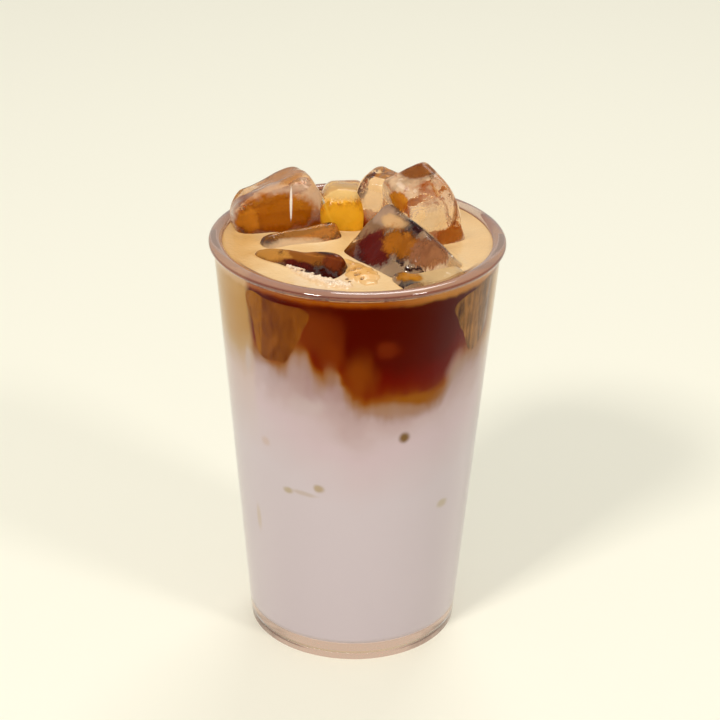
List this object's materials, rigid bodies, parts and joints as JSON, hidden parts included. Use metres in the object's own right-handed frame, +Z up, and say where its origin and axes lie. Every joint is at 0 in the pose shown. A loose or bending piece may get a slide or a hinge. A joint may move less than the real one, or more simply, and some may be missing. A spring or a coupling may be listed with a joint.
{
  "type": "iced latte in a glass",
  "caption": "Conical clear glass with a rounded rim, filled with layered milk and coffee under a thin tan foam, with clear melting ice standing above the drink.",
  "frame": {"origin": "middle of the base, on the surface that the glass stands on", "axes": "+Z up along the glass's axis; -Y is the side that faces the viewer in the picture"},
  "size_m": [0.086, 0.086, 0.1456],
  "materials": {
    "glass": "clear polished glass",
    "milk": "opaque cool white milk, faintly tinted by coffee",
    "coffee": "dark red-brown coffee",
    "foam": "smooth tan milk foam, glossy and wet",
    "ice": "clear wet ice with rounded, melted edges"
  },
  "bodies": {
    "root": {"glass": "glass", "milk": "milk", "coffee": "coffee", "foam": "foam", "foam_back": "foam", "ice_wedge": "ice", "ice_front_left": "ice", "ice_left": "ice", "ice_right": "ice", "ice_front_right": "ice", "ice_middle": "ice", "ice_back": "ice", "ice_rim": "ice"}
  },
  "joints": []
}
